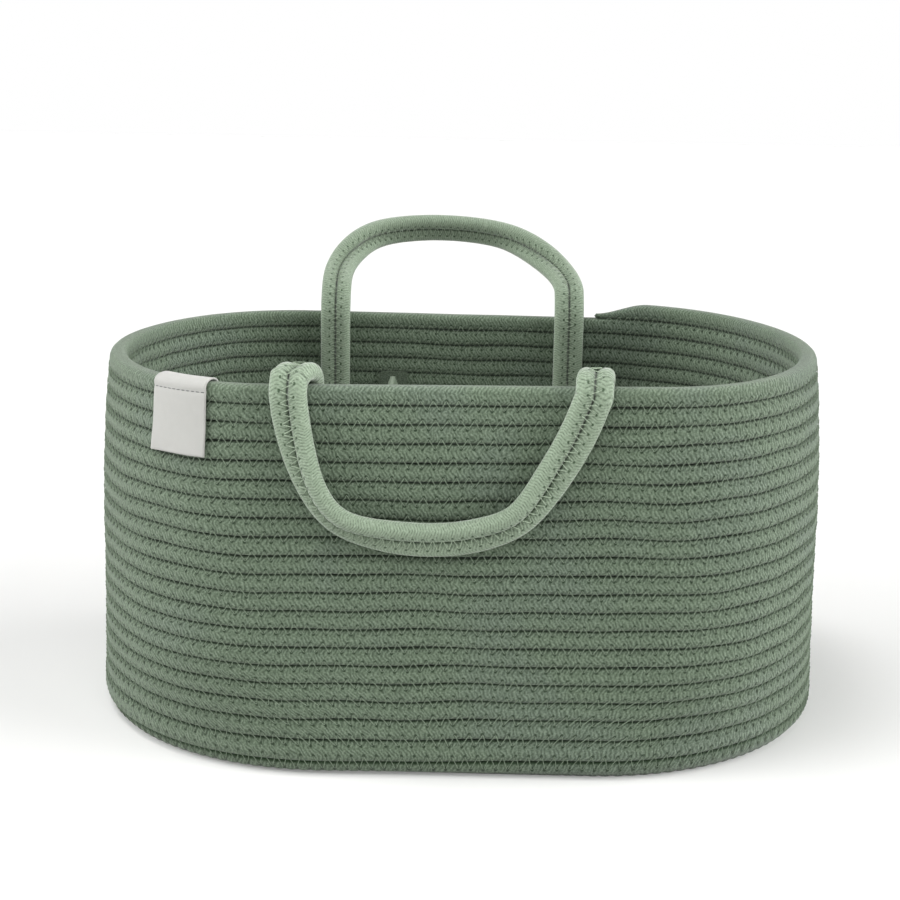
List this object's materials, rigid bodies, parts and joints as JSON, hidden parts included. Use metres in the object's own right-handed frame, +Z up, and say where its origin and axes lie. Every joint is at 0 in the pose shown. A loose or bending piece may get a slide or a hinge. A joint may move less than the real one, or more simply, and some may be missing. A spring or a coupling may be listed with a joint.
{
  "type": "diaper caddy",
  "caption": "Open oval rope caddy, coiled and stitched, with looped rope handles over the rim, a folded tape tag and lift-out canvas dividers.",
  "frame": {"origin": "On the floor under the middle of the basket's oval. The tipped rear handle makes the box of the whole part lopsided, so the origin is stated by the standing face", "axes": "+X to the right along the length, -Y out of the front with the hanging handle and the tag, +Y to the rear, +Z up"},
  "size_m": [0.3672, 0.3314, 0.2323],
  "materials": {
    "cotton_rope": "sage cotton rope, braided and zigzag stitched, matt",
    "handle_rope": "paler sage cotton rope, stitched side by side, matt",
    "tag_tape": "white woven tape, matt",
    "canvas": "sage cotton canvas, matt",
    "stiffener_board": "grey board, matt",
    "hook_tape": "hook side of a sewn fastener tape, matt",
    "loop_tape": "loop side of a sewn fastener tape, matt"
  },
  "bodies": {
    "basket": {"base_coil": "cotton_rope", "wall_coil": "cotton_rope", "tag_tape": "tag_tape", "front_handle_outer_left_tail": "handle_rope", "front_handle_outer_right_tail": "handle_rope", "front_handle_inner_left_tail": "handle_rope", "front_handle_inner_right_tail": "handle_rope", "rear_handle_outer_left_tail": "handle_rope", "rear_handle_outer_right_tail": "handle_rope", "rear_handle_inner_left_tail": "handle_rope", "rear_handle_inner_right_tail": "handle_rope", "wall_front_loop_tape_left": "loop_tape", "wall_front_loop_tape_right": "loop_tape", "wall_rear_loop_tape_left": "loop_tape", "wall_rear_loop_tape_right": "loop_tape"},
    "front_handle_bend_1": {"front_handle_outer_left_link_1": "handle_rope", "front_handle_outer_right_link_1": "handle_rope", "front_handle_inner_left_link_1": "handle_rope", "front_handle_inner_right_link_1": "handle_rope"},
    "front_handle_bend_2": {"front_handle_outer_left_link_2": "handle_rope", "front_handle_outer_right_link_2": "handle_rope", "front_handle_inner_left_link_2": "handle_rope", "front_handle_inner_right_link_2": "handle_rope"},
    "front_handle": {"front_handle_outer_grip": "handle_rope", "front_handle_inner_grip": "handle_rope"},
    "rear_handle_bend_1": {"rear_handle_outer_left_link_1": "handle_rope", "rear_handle_outer_right_link_1": "handle_rope", "rear_handle_inner_left_link_1": "handle_rope", "rear_handle_inner_right_link_1": "handle_rope"},
    "rear_handle_bend_2": {"rear_handle_outer_left_link_2": "handle_rope", "rear_handle_outer_right_link_2": "handle_rope", "rear_handle_inner_left_link_2": "handle_rope", "rear_handle_inner_right_link_2": "handle_rope"},
    "rear_handle": {"rear_handle_outer_grip": "handle_rope", "rear_handle_inner_grip": "handle_rope"},
    "divider_left": {"divider_left_cover": "canvas", "divider_left_board": "stiffener_board", "divider_left_front_hook_tape": "hook_tape", "divider_left_rear_hook_tape": "hook_tape"},
    "divider_right": {"divider_right_cover": "canvas", "divider_right_board": "stiffener_board", "divider_right_front_hook_tape": "hook_tape", "divider_right_rear_hook_tape": "hook_tape"}
  },
  "joints": [
    {"name": "front_handle_pivot_1", "type": "hinge", "parent": "basket", "child": "front_handle_bend_1", "pos_m": [-0.01, -0.1122, 0.18924], "axis": [-1, 0, 0], "range_deg": [0, 80]},
    {"name": "front_handle_pivot_2", "type": "hinge", "parent": "front_handle_bend_1", "child": "front_handle_bend_2", "pos_m": [-0.01, -0.1211, 0.19438], "axis": [-1, 0, 0], "range_deg": [0, 80]},
    {"name": "front_handle_pivot_3", "type": "hinge", "parent": "front_handle_bend_2", "child": "front_handle", "pos_m": [-0.01, -0.13, 0.18924], "axis": [-1, 0, 0], "range_deg": [0, 80]},
    {"name": "rear_handle_pivot_1", "type": "hinge", "parent": "basket", "child": "rear_handle_bend_1", "pos_m": [-0.006, 0.1122, 0.18497], "axis": [1, 0, 0], "range_deg": [-37, 43]},
    {"name": "rear_handle_pivot_2", "type": "hinge", "parent": "rear_handle_bend_1", "child": "rear_handle_bend_2", "pos_m": [-0.006, 0.11622, 0.19443], "axis": [1, 0, 0], "range_deg": [-37, 43]},
    {"name": "rear_handle_pivot_3", "type": "hinge", "parent": "rear_handle_bend_2", "child": "rear_handle", "pos_m": [-0.006, 0.12361, 0.20157], "axis": [1, 0, 0], "range_deg": [-37, 43]},
    {"name": "divider_left_lift", "type": "slide", "parent": "basket", "child": "divider_left", "axis": [0, 0, 1], "range_m": [0, 0.06]},
    {"name": "divider_right_lift", "type": "slide", "parent": "basket", "child": "divider_right", "axis": [0, 0, 1], "range_m": [0, 0.06]}
  ],
  "couplings": [
    {"joint": "front_handle_pivot_2", "follows": "front_handle_pivot_1", "ratio": 1},
    {"joint": "front_handle_pivot_3", "follows": "front_handle_pivot_1", "ratio": 1},
    {"joint": "rear_handle_pivot_2", "follows": "rear_handle_pivot_1", "ratio": 1},
    {"joint": "rear_handle_pivot_3", "follows": "rear_handle_pivot_1", "ratio": 1}
  ]
}
